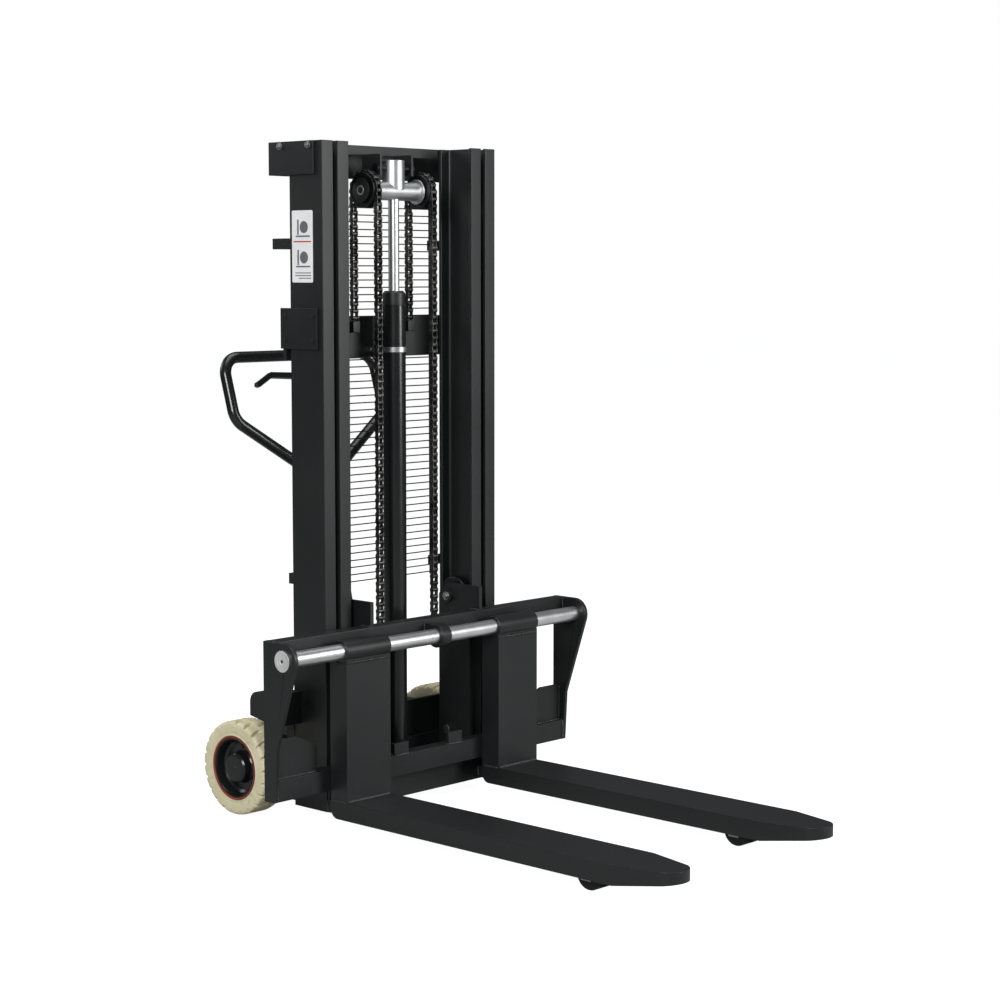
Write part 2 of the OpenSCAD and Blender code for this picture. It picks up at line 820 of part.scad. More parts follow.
module fork(side) {
    half = fork_width / 2;
    color("#26282a") at_mast() on_side(side) translate([fork_x, 0, 0]) difference() {
        union() {
            block([-half, shank_front, fork_top - 1], [half, shank_back, shaft_z - 8]);
            intersection() {
                translate([0, 0, skirt_z - 1]) linear_extrude(fork_top - skirt_z + 1) blade_plan();
                side_plate(-half - 1, fork_width + 2) blade_side();
            }
        }
        block([skirt_t - half, -taper_start + 20, skirt_z - 2],
              [half - skirt_t, shank_back + 1, fork_top - blade_t]);
        rod_x(sleeve_r + gap, -half - 1, half + 1, -shaft_reach, shaft_z);
    }
}

module left_fork() fork(-1);

module right_fork() fork(1);

left_outer_post();
right_outer_post();
top_crossbeam();
mid_crossbeam();
base_frame();
rear_cross_plate();
wrap_plates();
mast_bolts();
rear_guard();
cylinder_barrel();
cylinder_gland();
cylinder_foot();
cylinder_strap();
left_support_leg();
right_support_leg();
leg_axles();
rear_chassis();
wheel_axle();
wheel_guards();
pump_block();
tiller_bracket();
tiller_pin();
hydraulic_pipe();
left_inner_post();
right_inner_post();
inner_top_beam();
inner_tie_beam();
crosshead_plates();
crosshead_pin();
lift_rod();
crosshead();
chain_wheels();
front_chains();
rear_chains();
lower_mast_rollers();
upper_mast_rollers();
shaft_ears();
fork_shaft();
top_bar();
lower_bar();
carriage_uprights();
carriage_brackets();
chain_anchors();
lower_carriage_rollers();
upper_carriage_rollers();
left_fork_sleeve();
right_fork_sleeve();
left_fork();
right_fork();
left_tyre();
right_tyre();
left_rim();
right_rim();
leg_rollers_left();
leg_rollers_right();
tiller_shaft();
tiller_handle();
release_lever();
pump_plunger();
pump_spring();
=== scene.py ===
import json
import random
from math import acos, atan2, ceil, cos, hypot, pi, radians, sin, sqrt

import bmesh
import bpy
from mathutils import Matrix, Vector


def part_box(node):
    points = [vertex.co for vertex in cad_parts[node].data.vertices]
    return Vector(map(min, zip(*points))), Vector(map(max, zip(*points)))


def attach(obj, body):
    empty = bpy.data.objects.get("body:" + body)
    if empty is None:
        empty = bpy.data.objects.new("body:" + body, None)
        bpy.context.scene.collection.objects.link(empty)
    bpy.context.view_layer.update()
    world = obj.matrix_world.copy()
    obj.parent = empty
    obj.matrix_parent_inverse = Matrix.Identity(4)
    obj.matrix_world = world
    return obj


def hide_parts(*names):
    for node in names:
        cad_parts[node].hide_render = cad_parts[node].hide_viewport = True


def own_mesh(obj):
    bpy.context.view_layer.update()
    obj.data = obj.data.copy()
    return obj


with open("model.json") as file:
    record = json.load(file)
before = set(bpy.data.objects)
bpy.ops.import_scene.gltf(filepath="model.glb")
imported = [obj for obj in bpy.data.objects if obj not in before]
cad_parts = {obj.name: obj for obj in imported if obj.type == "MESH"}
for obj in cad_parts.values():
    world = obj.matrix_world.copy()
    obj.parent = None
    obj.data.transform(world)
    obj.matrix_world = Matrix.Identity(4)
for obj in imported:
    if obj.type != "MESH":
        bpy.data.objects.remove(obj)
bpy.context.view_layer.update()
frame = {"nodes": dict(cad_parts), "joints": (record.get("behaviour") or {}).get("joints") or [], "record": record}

NODES = frame["nodes"]
BODIES = frame["record"]["behaviour"]["bodies"]
SLOTS = {part["node"]: part["material_slot"] for part in frame["record"]["subparts"]}
BODY_OF = {node: body for body, members in BODIES.items() for node in members}
RNG = random.Random(7)
X, Y, Z = Vector((1, 0, 0)), Vector((0, 1, 0)), Vector((0, 0, 1))


# ---- camera, lights and floor ---------------------------------------------------------------

def make_camera():
    """Front left of the machine, a little above the middle of the mast."""
    azimuth, elevation = radians(-46.727), radians(5.796)
    back = Vector((sin(azimuth) * cos(elevation), -cos(azimuth) * cos(elevation), sin(elevation)))
    data = bpy.data.cameras.new("camera")
    data.lens = 81.3
    data.sensor_width = 36
    camera = bpy.data.objects.new("camera", data)
    bpy.context.scene.collection.objects.link(camera)
    camera.location = (-4.353, -4.069, 1.489)
    camera.rotation_euler = back.to_track_quat("Z", "Y").to_euler()
    bpy.context.scene.camera = camera


def area_light(name, place, target, size, power):
    data = bpy.data.lights.new(name, "AREA")
    data.shape = "RECTANGLE"
    data.size, data.size_y = size
    data.energy = power
    light = bpy.data.objects.new(name, data)
    bpy.context.scene.collection.objects.link(light)
    light.location = place
    light.rotation_euler = (Vector(place) - Vector(target)).to_track_quat("Z", "Y").to_euler()


def camera_ray_mix(tree, usual, seen):
    """Shader that is one thing to the camera and another to light that bounces."""
    mix = tree.nodes.new("ShaderNodeMixShader")
    rays = tree.nodes.new("ShaderNodeLightPath")
    tree.links.new(rays.outputs["Is Camera Ray"], mix.inputs["Fac"])
    tree.links.new(usual, mix.inputs[1])
    tree.links.new(seen, mix.inputs[2])
    return mix.outputs[0]


def make_floor():
    """White floor that keeps only a trace of the machine's shadow."""
    half = 40
    corners = [(-half, -half, 0), (half, -half, 0), (half, half, 0), (-half, half, 0)]
    mesh = bpy.data.meshes.new("floor")
    mesh.from_pydata(corners, [], [(0, 1, 2, 3)])
    floor = bpy.data.objects.new("floor", mesh)
    bpy.context.scene.collection.objects.link(floor)
    material = bpy.data.materials.new("floor")
    material.use_nodes = True
    tree = material.node_tree
    tree.nodes.clear()
    output = tree.nodes.new("ShaderNodeOutputMaterial")
    bounce = tree.nodes.new("ShaderNodeBsdfDiffuse")
    bounce.inputs["Color"].default_value = (0.42, 0.42, 0.42, 1)
    shaded = tree.nodes.new("ShaderNodeBsdfDiffuse")
    shaded.inputs["Color"].default_value = (0.3, 0.3, 0.3, 1)
    glow = tree.nodes.new("ShaderNodeEmission")
    glow.inputs["Color"].default_value = (1, 1, 1, 1)
    glow.inputs["Strength"].default_value = 0.97
    bright = tree.nodes.new("ShaderNodeAddShader")
    tree.links.new(shaded.outputs[0], bright.inputs[0])
    tree.links.new(glow.outputs[0], bright.inputs[1])
    tree.links.new(camera_ray_mix(tree, bounce.outputs[0], bright.outputs[0]), output.inputs["Surface"])
    mesh.materials.append(material)


def make_world():
    world = bpy.data.worlds.new("studio")
    bpy.context.scene.world = world
    world.use_nodes = True
    tree = world.node_tree
    tree.nodes.clear()
    output = tree.nodes.new("ShaderNodeOutputWorld")
    seen = tree.nodes.new("ShaderNodeBackground")
    seen.inputs["Color"].default_value = (1, 1, 1, 1)
    seen.inputs["Strength"].default_value = 1.0
    lit = tree.nodes.new("ShaderNodeBackground")
    lit.inputs["Color"].default_value = (0.92, 0.97, 1, 1)
    lit.inputs["Strength"].default_value = 0.1
    tree.links.new(camera_ray_mix(tree, lit.outputs[0], seen.outputs[0]), output.inputs["Surface"])
    bpy.context.scene.view_settings.view_transform = "Standard"


def make_lights():
    """Key from the left, a panel that the front faces mirror, and light from above and behind."""
    area_light("key", (-5.2, -2.6, 3.4), (0, 0, 0.5), (2.2, 2.2), 330)
    area_light("front_right", (2.2, -4.5, 2.2), (0, 0, 1.1), (1.7, 2.4), 190)
    area_light("top", (0.3, 0.2, 5.0), (0, 0, 0), (3.6, 3.6), 130)
    area_light("rear", (-1.5, 5.2, 3.2), (0, 0.3, 0.8), (3.0, 1.6), 60)


# ---- materials --------------------------------------------------------------------------------

class Shading:
    """A Principled material whose colour, roughness and relief come from object-space noise."""

    def __init__(self, name, metallic=0.0, **constants):
        self.material = bpy.data.materials.new(name)
        self.material.use_nodes = True
        self.tree = self.material.node_tree
        self.shader = self.tree.nodes["Principled BSDF"]
        self.shader.inputs["Metallic"].default_value = metallic
        for socket, value in constants.items():
            self.shader.inputs[socket.replace("_", " ")].default_value = value
        self.coords = self.tree.nodes.new("ShaderNodeTexCoord")
        self.height = None

    def link(self, a, b):
        self.tree.links.new(a, b)

    def noise(self, scale, detail):
        node = self.tree.nodes.new("ShaderNodeTexNoise")
        node.inputs["Scale"].default_value = scale
        node.inputs["Detail"].default_value = detail
        self.link(self.coords.outputs["Object"], node.inputs["Vector"])
        return node.outputs["Fac"]

    def remap(self, value, low, high, out_low=0.0, out_high=1.0):
        node = self.tree.nodes.new("ShaderNodeMapRange")
        limits = {"From Min": low, "From Max": high, "To Min": out_low, "To Max": out_high}
        for socket, number in limits.items():
            node.inputs[socket].default_value = number
        self.link(value, node.inputs["Value"])
        return node.outputs["Result"]

    def blend_colour(self, factor, a, b):
        node = self.tree.nodes.new("ShaderNodeMix")
        node.data_type = "RGBA"
        self.link(factor, node.inputs["Factor"])
        for socket, colour in (("A", a), ("B", b)):
            target = [i for i in node.inputs if i.name == socket and i.type == "RGBA"][0]
            if isinstance(colour, tuple):
                target.default_value = (*colour, 1)
            else:
                self.link(colour, target)
        return [o for o in node.outputs if o.type == "RGBA"][0]

    def edge(self, low, high):
        geometry = self.tree.nodes.new("ShaderNodeNewGeometry")
        return self.remap(geometry.outputs["Pointiness"], low, high)

    def multiply(self, a, b):
        node = self.tree.nodes.new("ShaderNodeMath")
        node.operation = "MULTIPLY"
        self.link(a, node.inputs[0])
        self.link(b, node.inputs[1])
        return node.outputs[0]

    def colour(self, value):
        self.link(value, self.shader.inputs["Base Color"])

    def roughness(self, value):
        self.link(value, self.shader.inputs["Roughness"])

    def bump(self, value, distance, strength=1.0):
        node = self.tree.nodes.new("ShaderNodeBump")
        node.inputs["Distance"].default_value = distance
        node.inputs["Strength"].default_value = strength
        self.link(value, node.inputs["Height"])
        if self.height:
            self.link(self.height, node.inputs["Normal"])
        self.height = node.outputs["Normal"]
        self.link(self.height, self.shader.inputs["Normal"])


def paint(name, dark, light, rough, worn, peel=0.00005):
    """Sprayed paint: faint clouds, orange peel, fine specks and a thin coat on the edges."""
    s = Shading(name, Specular_IOR_Level=0.42)
    base = s.blend_colour(s.remap(s.noise(2.5, 2), 0.3, 0.7), dark, light)
    specks = s.multiply(s.remap(s.noise(1100, 2), 0.64, 0.76), s.remap(s.noise(20, 3), 0.48, 0.7))
    base = s.blend_colour(specks, base, worn)
    wear = s.multiply(s.edge(0.6, 0.75), s.remap(s.noise(70, 5), 0.44, 0.62))
    s.colour(s.blend_colour(wear, base, worn))
    s.roughness(s.remap(s.noise(5, 2), 0.3, 0.7, rough[0], rough[1]))
    s.bump(s.noise(650, 2), peel, 0.5)
    return s.material


def metal(name, dark, light, rough, scratch_scale=900, scratch=0.00003, metallic=1.0):
    """Bare metal with fine scratches and stains of different gloss."""
    s = Shading(name, metallic=metallic)
    stain = s.remap(s.noise(22, 6), 0.35, 0.65)
    s.colour(s.blend_colour(stain, dark, light))
    fine = s.noise(scratch_scale, 4)
    s.roughness(s.remap(fine, 0.25, 0.75, rough[0], rough[1]))
    s.bump(fine, scratch, 0.5)
    return s.material


def rubber(name, dark, light, rough, grime_and_hollows):
    """Moulded rubber or plastic with a fine grain, dirt in patches, and the hollows darkened towards the same dark
    colour.
    """
    s = Shading(name, Specular_IOR_Level=0.35)
    base = s.blend_colour(s.remap(s.noise(16, 6), 0.3, 0.7), dark, light)
    dirt = s.multiply(s.remap(s.noise(55, 8), 0.52, 0.78), s.remap(s.noise(7, 4), 0.4, 0.7))
    base = s.blend_colour(dirt, base, grime_and_hollows)
    # hollows (low pointiness) are darkened towards the same dark colour as the dirt patches
    s.colour(s.blend_colour(s.edge(0.47, 0.36), base, grime_and_hollows))
    s.roughness(s.remap(s.noise(120, 5), 0.3, 0.7, rough[0], rough[1]))
    s.bump(s.noise(700, 4), 0.00012, 0.6)
    return s.material


def make_materials():
    return {
        "black_paint": paint("black_paint", (0.0072, 0.0083, 0.0086), (0.0098, 0.0112, 0.0115),
                             (0.38, 0.45), (0.03, 0.033, 0.034)),
        "gloss_black": paint("gloss_black", (0.007, 0.0078, 0.0082), (0.009, 0.0098, 0.01),
                             (0.2, 0.28), (0.03, 0.03, 0.03), peel=0.00002),
        "weld": paint("weld", (0.013, 0.0138, 0.0142), (0.03, 0.031, 0.032),
                      (0.24, 0.4), (0.12, 0.12, 0.12)),
        "chrome_steel": metal("chrome_steel", (0.7, 0.72, 0.72), (0.8, 0.81, 0.81), (0.3, 0.38),
                              scratch_scale=1500, scratch=0.00001),
        "turned_steel": metal("turned_steel", (0.44, 0.46, 0.46), (0.54, 0.55, 0.55), (0.36, 0.46),
                              scratch_scale=1500, scratch=0.00001),
        "plated_disc": metal("plated_disc", (0.5, 0.52, 0.52), (0.68, 0.69, 0.68), (0.42, 0.6),
                             scratch_scale=600, metallic=0.45),
        "bright_steel": metal("bright_steel", (0.3, 0.31, 0.32), (0.45, 0.45, 0.45), (0.3, 0.48)),
        "dark_steel": metal("dark_steel", (0.025, 0.026, 0.028), (0.05, 0.052, 0.055), (0.34, 0.5)),
        "oiled_chain": metal("oiled_chain", (0.045, 0.045, 0.043), (0.15, 0.15, 0.145), (0.28, 0.45),
                             scratch_scale=300),
        "tyre": rubber("tyre", (0.58, 0.535, 0.35), (0.69, 0.645, 0.45), (0.6, 0.8), (0.3, 0.27, 0.17)),
        "tyre_ring": rubber("tyre_ring", (0.2, 0.028, 0.014), (0.27, 0.04, 0.022), (0.45, 0.6),
                            (0.09, 0.02, 0.014)),
        "roller_nylon": rubber("roller_nylon", (0.012, 0.012, 0.012), (0.02, 0.02, 0.02), (0.35, 0.5),
                               (0.05, 0.048, 0.045)),
        "label_white": rubber("label_white", (0.68, 0.69, 0.7), (0.78, 0.78, 0.78),
                              (0.35, 0.5), (0.6, 0.6, 0.6)),
        "label_grey": rubber("label_grey", (0.1, 0.1, 0.11), (0.16, 0.16, 0.17),
                             (0.35, 0.5), (0.2, 0.2, 0.2)),
        "label_red": rubber("label_red", (0.45, 0.03, 0.02), (0.5, 0.05, 0.03),
                            (0.35, 0.5), (0.3, 0.05, 0.04)),
    }


# ---- mesh building ------------------------------------------------------------------------------

class Build:
    """Collects closed shapes as vertices and faces. Lengths are metres."""

    def __init__(self):
        self.verts = []
        self.faces = []

    def add(self, verts, faces):
        start = len(self.verts)
        self.verts.extend(tuple(v) for v in verts)
        self.faces.extend([tuple(i + start for i in face) for face in faces])
        return self

    def rings(self, rings, closed=False):
        """Skin over rings of points that all have the same count, capped unless it is closed."""
        count, size = len(rings), len(rings[0])
        faces = []
        for i in range(count if closed else count - 1):
            j = (i + 1) % count
            for k in range(size):
                m = (k + 1) % size
                faces.append((i * size + k, j * size + k, j * size + m, i * size + m))
        if not closed:
            faces.append(tuple(range(size)))
            faces.append(tuple((count - 1) * size + k for k in reversed(range(size))))
        return self.add([p for ring in rings for p in ring], faces)

    def box(self, low, high):
        low, high = Vector(low), Vector(high)
        rings = [[(x, y, z) for x, y in ((low.x, low.y), (high.x, low.y), (high.x, high.y), (low.x, high.y))]
                 for z in (low.z, high.z)]
        return self.rings(rings)

    def prism(self, outline, origin, u, v, along, length):
        """Flat outline in the plane of u and v, extruded along a direction."""
        origin = Vector(origin)
        base = [origin + u * a + v * b for a, b in outline]
        return self.rings([base, [p + along * length for p in base]])

    def lathe(self, profile, origin, axis, steps=48, closed=False, shape=None):
        """Profile of (distance along the axis, radius) turned round the axis."""
        origin, axis = Vector(origin), Vector(axis).normalized()
        u = axis.orthogonal().normalized() if abs(axis.x) < 0.9 else Y.copy()
        v = axis.cross(u)
        rings = []
        for h, r in profile:
            ring = []
            for i in range(steps):
                a = 2 * pi * i / steps
                radius = shape(r, h, a) if shape else r
                ring.append(origin + axis * h + (u * cos(a) + v * sin(a)) * radius)
            rings.append(ring)
        return self.rings(rings, closed=closed)

    def tube(self, path, radius, sides, up=None):
        """Round tube along a path of points; radius is a number or a function of the point's index."""
        path = [Vector(p) for p in path]
        rings = []
        normal = up.copy() if up else None
        for i, point in enumerate(path):
            ahead = path[i + 1] if i < len(path) - 1 else point
            behind = path[i - 1] if i > 0 else point
            along = (ahead - behind).normalized()
            normal = (normal if normal else along.orthogonal())
            normal = (normal - along * normal.dot(along)).normalized()
            side = along.cross(normal)
            r = radius(i) if callable(radius) else radius
            turns = [2 * pi * k / sides for k in range(sides)]
            rings.append([point + (normal * cos(turn) + side * sin(turn)) * r for turn in turns])
        return self.rings(rings)

    def hexagon(self, centre, axis, across, height):
        """Hexagonal head or nut with chamfered corners."""
        r, chamfer = across / sqrt(3), 0.12
        profile = [(0, r), (height * 0.78, r), (height, r * (1 - chamfer))]
        return self.lathe(profile, centre, axis, steps=6)


def arc(centre, radius, start, end, steps):
    """Points of an arc in a plane, angles in degrees."""
    return [(centre[0] + radius * cos(radians(start + (end - start) * i / steps)),
             centre[1] + radius * sin(radians(start + (end - start) * i / steps))) for i in range(steps + 1)]


def finish_mesh(obj, bevel):
    """Smooth shading with bevelled or creased edges and flat faces kept flat."""
    if bevel:
        modifier = obj.modifiers.new("bevel", "BEVEL")
        modifier.width = bevel
        modifier.segments = 2
        modifier.limit_method = "ANGLE"
        modifier.angle_limit = radians(32)
        modifier.harden_normals = False
    modifier = obj.modifiers.new("normals", "WEIGHTED_NORMAL")
    modifier.keep_sharp = True
    obj.data.update()


def piece(name, body, slot, build, bevel=0.0, material=None, stands_for=(), sharp=38):
    """Turns a Build into a piece that rides on a body."""
    mesh = bpy.data.meshes.new(name)
    mesh.from_pydata(build.verts, [], build.faces)
    bm = bmesh.new()
    bm.from_mesh(mesh)
    bmesh.ops.recalc_face_normals(bm, faces=bm.faces)
    for face in bm.faces:
        face.smooth = True
    if not bevel:
        for edge in bm.edges:
            if len(edge.link_faces) == 2 and edge.calc_face_angle(0) > radians(sharp):
                edge.smooth = False
    bm.to_mesh(mesh)
    bm.free()
    obj = bpy.data.objects.new(name, mesh)
    bpy.context.scene.collection.objects.link(obj)
    finish_mesh(obj, bevel)
    mesh.materials.append(MATERIALS[material or slot])
    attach(obj, body)
    if stands_for:
        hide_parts(*stands_for)
    return obj


def dress_cad(node, bevel, material):
    """Carried-over CAD node: its shape stays, its edges are rounded and it gets its material."""
    obj = NODES[node]
    obj.data.materials.clear()
    obj.data.materials.append(MATERIALS[material or SLOTS[node]])
    for polygon in obj.data.polygons:
        polygon.use_smooth = True
    weld = obj.modifiers.new("weld", "WELD")
    weld.merge_threshold = 1e-5
    finish_mesh(obj, bevel)


def weld_bead(build, start, end, radius):
    """Rippled bead of weld between two points."""
    start, end, pitch = Vector(start), Vector(end), 0.0055
    length = (end - start).length
    steps = max(6, ceil(length / pitch) * 4)
    waver = [RNG.uniform(0.86, 1.14) for _ in range(ceil(steps / 4) + 2)]
    path = [start.lerp(end, i / steps) for i in range(steps + 1)]

    def size(i):
        ripple = 1 + 0.16 * cos(2 * pi * i / 4)
        ends = min(1.0, 0.35 + 0.3 * min(i, steps - i))
        return radius * ripple * waver[i // 4] * ends

    build.tube(path, size, sides=8)


# ---- places taken from the frame ------------------------------------------------------------------

POST_LOW, POST_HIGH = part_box("right_outer_post")
FRONT = POST_LOW.y
WEB = 0.008
FLANGE = 0.012
SHAFT_LOW, SHAFT_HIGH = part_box("left_fork_sleeve")
SHAFT_Y = (SHAFT_LOW.y + SHAFT_HIGH.y) / 2
SHAFT_Z = (SHAFT_LOW.z + SHAFT_HIGH.z) / 2
CHAIN_PITCH = 0.01905
CHAIN_WHEEL_WIDTH = 0.028
FORK_TOP = 0.091
LOWER_BAR_TOP = 0.171
UPRIGHT_X = 0.217


# ---- mast ------------------------------------------------------------------------------------------

def channel_outline(tip, outer, front, back):
    """Rolled channel, open towards the centre line: fillets inside, rounded flange tips."""
    fillet, nose, corner, tip_r = 0.008, 0.004, 0.0025, 0.0015
    inner = outer - WEB
    points = arc((outer - corner, front + corner), corner, -90, 0, 4)
    points += arc((outer - corner, back - corner), corner, 0, 90, 4)
    points += arc((tip + tip_r, back - tip_r), tip_r, 90, 180, 2)
    points += arc((tip + nose, back - FLANGE + nose), nose, 180, 270, 4)
    points += arc((inner - fillet, back - FLANGE - fillet), fillet, 90, 0, 5)
    points += arc((inner - fillet, front + FLANGE + fillet), fillet, 0, -90, 5)
    points += arc((tip + nose, front + FLANGE - nose), nose, 90, 180, 4)
    points += arc((tip + tip_r, front + tip_r), tip_r, 180, 270, 2)
    return points


def make_posts():
    flange_width = POST_HIGH.x - POST_LOW.x
    for stage, body in (("outer", "root"), ("inner", "inner_mast")):
        low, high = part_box(f"right_{stage}_post")
        outer = low.x + flange_width
        outline = channel_outline(low.x, outer, low.y, high.y)
        for side, sign in (("right", 1), ("left", -1)):
            build = Build()
            build.prism([(x * sign, y) for x, y in outline], (0, 0, low.z), X, Y, Z, high.z - low.z)
            if stage == "inner":
                for roller in ("lower_mast_rollers", "upper_mast_rollers"):
                    a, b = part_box(roller)
                    centre = (sign * (outer - WEB), (a.y + b.y) / 2, (a.z + b.z) / 2)
                    reach = high.x - outer + WEB
                    build.lathe([(0, 0.015), (reach - 0.0015, 0.015), (reach, 0.0135)], centre, X * sign, 32)
            piece(f"{side}_{stage}_channel", body, "black_paint", build, sharp=50,
                  stands_for=(f"{side}_{stage}_post",))


def make_bolts():
    """Hexagon bolts with washers that hold the top wrap plates."""
    low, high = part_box("mast_bolts")
    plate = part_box("wrap_plates")[1].x
    build = Build()
    for sign in (-1, 1):
        for y in (low.y + 0.007, high.y - 0.007):
            centre = Vector((sign * plate, y, (low.z + high.z) / 2))
            build.lathe([(0, 0.0095), (0.0016, 0.0095), (0.002, 0.009)], centre, X * sign, 32)
            build.hexagon(centre + X * sign * 0.002, X * sign, 0.0135, 0.0055)
            build.lathe([(0.007, 0.0038), (0.0088, 0.0038), (0.009, 0.0034)], centre, X * sign, 20)
    piece("mast_bolt_heads", "root", "bright_steel", build, bevel=0.0003, stands_for=("mast_bolts",))


def make_guard():
    """Straight wires laid on two flat bars, with a spot weld at each crossing."""
    low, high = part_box("rear_guard")
    wire, flat_t, flat_w = 0.0017, 0.004, 0.024
    build = Build()
    for sign in (-1, 1):
        outer, inner = sign * high.x, sign * (high.x - flat_w)
        build.box((min(outer, inner), high.y - flat_t, low.z), (max(outer, inner), high.y, high.z))
    pitch = 0.02
    count = int((high.z - low.z - 0.012) / pitch) + 1
    reach = high.x - flat_w / 2
    for i in range(count):
        z = low.z + 0.008 + pitch * i
        y = high.y - flat_t - wire + 0.0005
        sag = RNG.uniform(-0.0007, 0.0007)
        path = [(-reach + 2 * reach * k / 6, y, z + sag * sin(pi * k / 6)) for k in range(7)]
        build.tube(path, wire, sides=10)
        for sign in (-1, 1):
            build.lathe([(-0.004, 0.001), (-0.002, 0.0023), (0.002, 0.0023), (0.004, 0.001)],
                        (sign * (reach - 0.004), y + 0.0006, z), X, 8)
    piece("guard_wires", "root", "dark_steel", build, sharp=60, stands_for=("rear_guard",))


def make_label():
    """Plain white plate with a few generic marks on the left channel's web."""
    face = -POST_HIGH.x
    width, low_z, high_z = 0.082, 1.458, 1.648
    corner, thickness = 0.004, 0.0004
    y0 = FRONT + 0.038
    y1 = y0 + width
    plate = Build()
    outline = (arc((y0 + corner, low_z + corner), corner, 180, 270, 4) +
               arc((y1 - corner, low_z + corner), corner, 270, 360, 4) +
               arc((y1 - corner, high_z - corner), corner, 0, 90, 4) +
               arc((y0 + corner, high_z - corner), corner, 90, 180, 4))
    plate.prism(outline, (face, 0, 0), Y, Z, -X, thickness)
    piece("mast_label", "root", "roller_nylon", plate, material="label_white", sharp=60)
    top = face - thickness
    ink = 0.0002
    centre = y0 + width / 2

    def block(build, low_y, low, high_y, high):
        outline = [(low_y, low), (high_y, low), (high_y, high), (low_y, high)]
        build.prism(outline, (top, 0, 0), Y, Z, -X, ink)

    marks = Build()
    for z in (1.604, 1.524):
        marks.prism(arc((centre - 0.006, z), 0.016, 0, 360, 24)[:-1], (top, 0, 0), Y, Z, -X, ink)
        block(marks, centre + 0.014, z - 0.02, centre + 0.02, z + 0.02)
        block(marks, centre - 0.03, z - 0.026, centre + 0.026, z - 0.022)
    for z, end in ((1.468, y1 - 0.026), (1.475, y1 - 0.012), (1.482, y1 - 0.012)):
        block(marks, y0 + 0.008, z, end, z + 0.0025)
    piece("mast_label_marks", "root", "roller_nylon", marks, material="label_grey", sharp=60)
    bar = Build()
    block(bar, y0 + 0.006, 1.564, y1 - 0.006, 1.5675)
    piece("mast_label_bar", "root", "roller_nylon", bar, material="label_red", sharp=60)


# ---- chains ----------------------------------------------------------------------------------------

def link_plate(build, a, b, x, thickness, radius):
    """Waisted chain plate between two pin centres."""
    along = (b - a)
    length = along.length
    along.normalize()
    across = X.cross(along)
    waist = radius * 0.74
    outline = arc((0, 0), radius, 55, 305, 9)
    outline += [(length / 2, -waist)]
    outline += arc((length, 0), radius, 235, 485, 9)
    outline += [(length / 2, waist)]
    build.prism(outline, a + X * x, along, across, X, thickness)


def chain_points():
    """Pin centres of one chain across X, from the carriage's anchor over the wheel to the mast's."""
    front_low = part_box("front_chains")[0]
    rear_low, rear_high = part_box("rear_chains")
    wheel_low, wheel_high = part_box("chain_wheels")
    centre = Vector((0, (wheel_low.y + wheel_high.y) / 2, (wheel_low.z + wheel_high.z) / 2))
    radius = (rear_low.y + rear_high.y) / 2 - centre.y
    up, turn, down = centre.z - front_low.z, pi * radius, centre.z - rear_low.z
    count = round((up + turn + down) / CHAIN_PITCH)
    pitch = (up + turn + down) / count
    points = []
    for i in range(count + 1):
        s = i * pitch
        if s < up:
            point = Vector((0, centre.y - radius, front_low.z + s))
        elif s < up + turn:
            a = pi - (s - up) / radius
            point = centre + Vector((0, radius * cos(a), radius * sin(a)))
        else:
            point = Vector((0, centre.y + radius, centre.z - (s - up - turn)))
        points.append(point)
    return points, radius


def chain_piece(name, points, first, stands_for):
    """Rollers, pins and plates of both chains, with wide and narrow links in turn."""
    low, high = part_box("front_chains")
    half = (high.x - low.x) / 2 - 0.01
    plate_t, plate_r = 0.0018, 0.0078
    roller = [(-0.0058, 0.006), (0.0058, 0.006)]
    pin = [(-0.0112, 0.002), (-0.0108, 0.0029), (0.0108, 0.0029), (0.0112, 0.002)]
    build = Build()
    for x in (-half, half):
        for i, point in enumerate(points):
            build.lathe(roller, point + X * x, X, 12)
            build.lathe(pin, point + X * x, X, 10)
            if i == 0:
                continue
            gap = 0.0079 if (first + i) % 2 == 0 else 0.0059
            for edge in (-gap - plate_t, gap):
                link_plate(build, points[i - 1].copy(), point.copy(), x + edge, plate_t, plate_r)
    return piece(name, "inner_mast", "oiled_chain", build, sharp=50, stands_for=stands_for)


def make_chains():
    """Two pieces of both chains: the front run that goes over the wheel in a lift, and the rest.

    It has spare links above the stroke, so that the rest stays clear of the carriage's anchors at full lift.
    """
    points, radius = chain_points()
    stroke = [j for j in frame["joints"] if j["name"] == "mast_lift"][0]["range_m"][1]
    top_of_run = points[0].z + stroke
    spare = 2
    split = spare + max(i for i, p in enumerate(points)
                        if p.y < points[0].y + 1e-6 and p.z <= top_of_run)
    run = chain_piece("chain_front_run", points[:split + 1], 0, ("front_chains",))
    chain_piece("chain_top_run", points[split:], split, ("rear_chains",))
    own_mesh(run)


